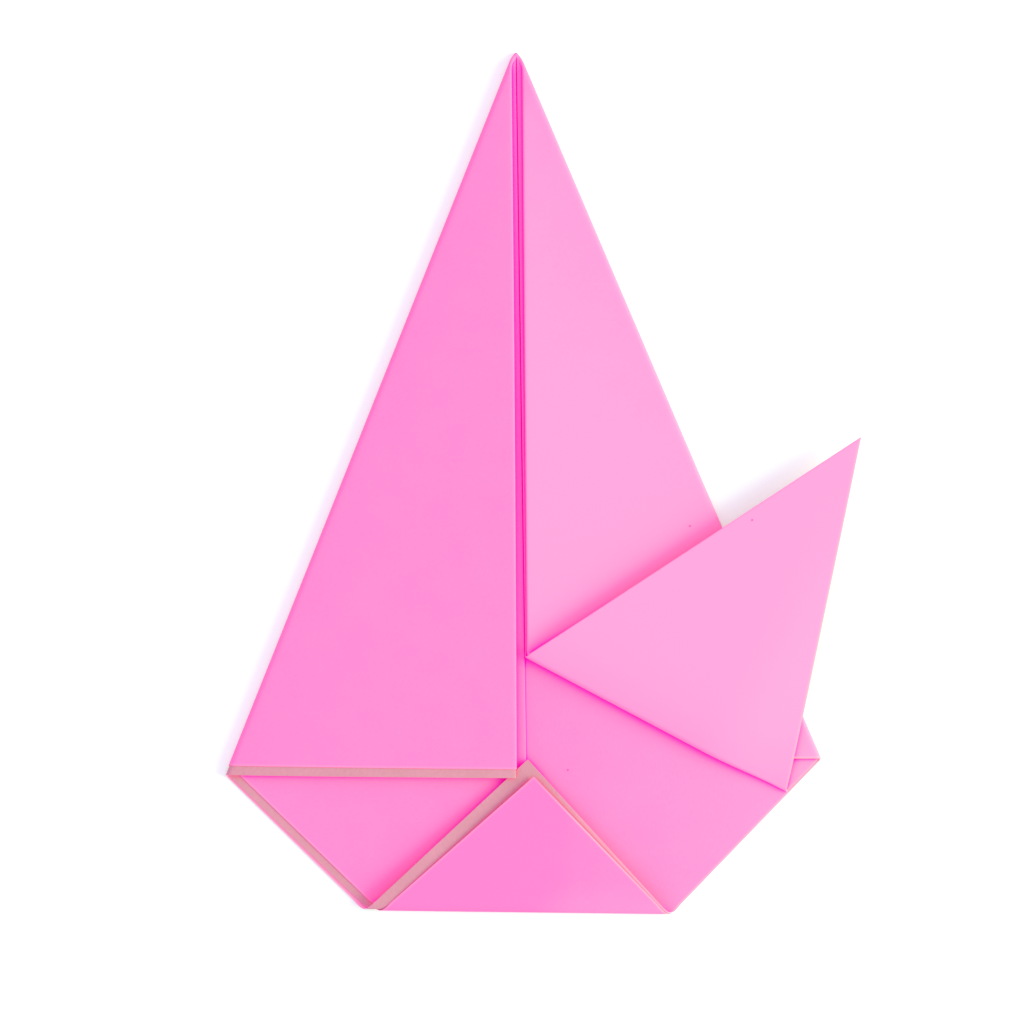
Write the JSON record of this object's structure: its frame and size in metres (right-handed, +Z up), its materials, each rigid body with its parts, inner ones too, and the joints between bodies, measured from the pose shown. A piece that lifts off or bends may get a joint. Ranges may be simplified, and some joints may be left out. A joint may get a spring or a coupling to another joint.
{
  "type": "origami rabbit",
  "caption": "Rabbit folded flat from one square of coloured paper, with a long point, one ear turned out to the side and a turned-up base.",
  "frame": {"origin": "on the surface it lies on, under the middle of its outline", "axes": "+Y towards the long point, +X towards the turned-out ear, +Z up out of the paper"},
  "size_m": [0.068, 0.091, 0.0049],
  "materials": {
    "pink_paper": "matt uncoated paper, pink on the outer side and white on the inner side"
  },
  "bodies": {
    "root": {"folded_sheet": "pink_paper"}
  },
  "joints": []
}
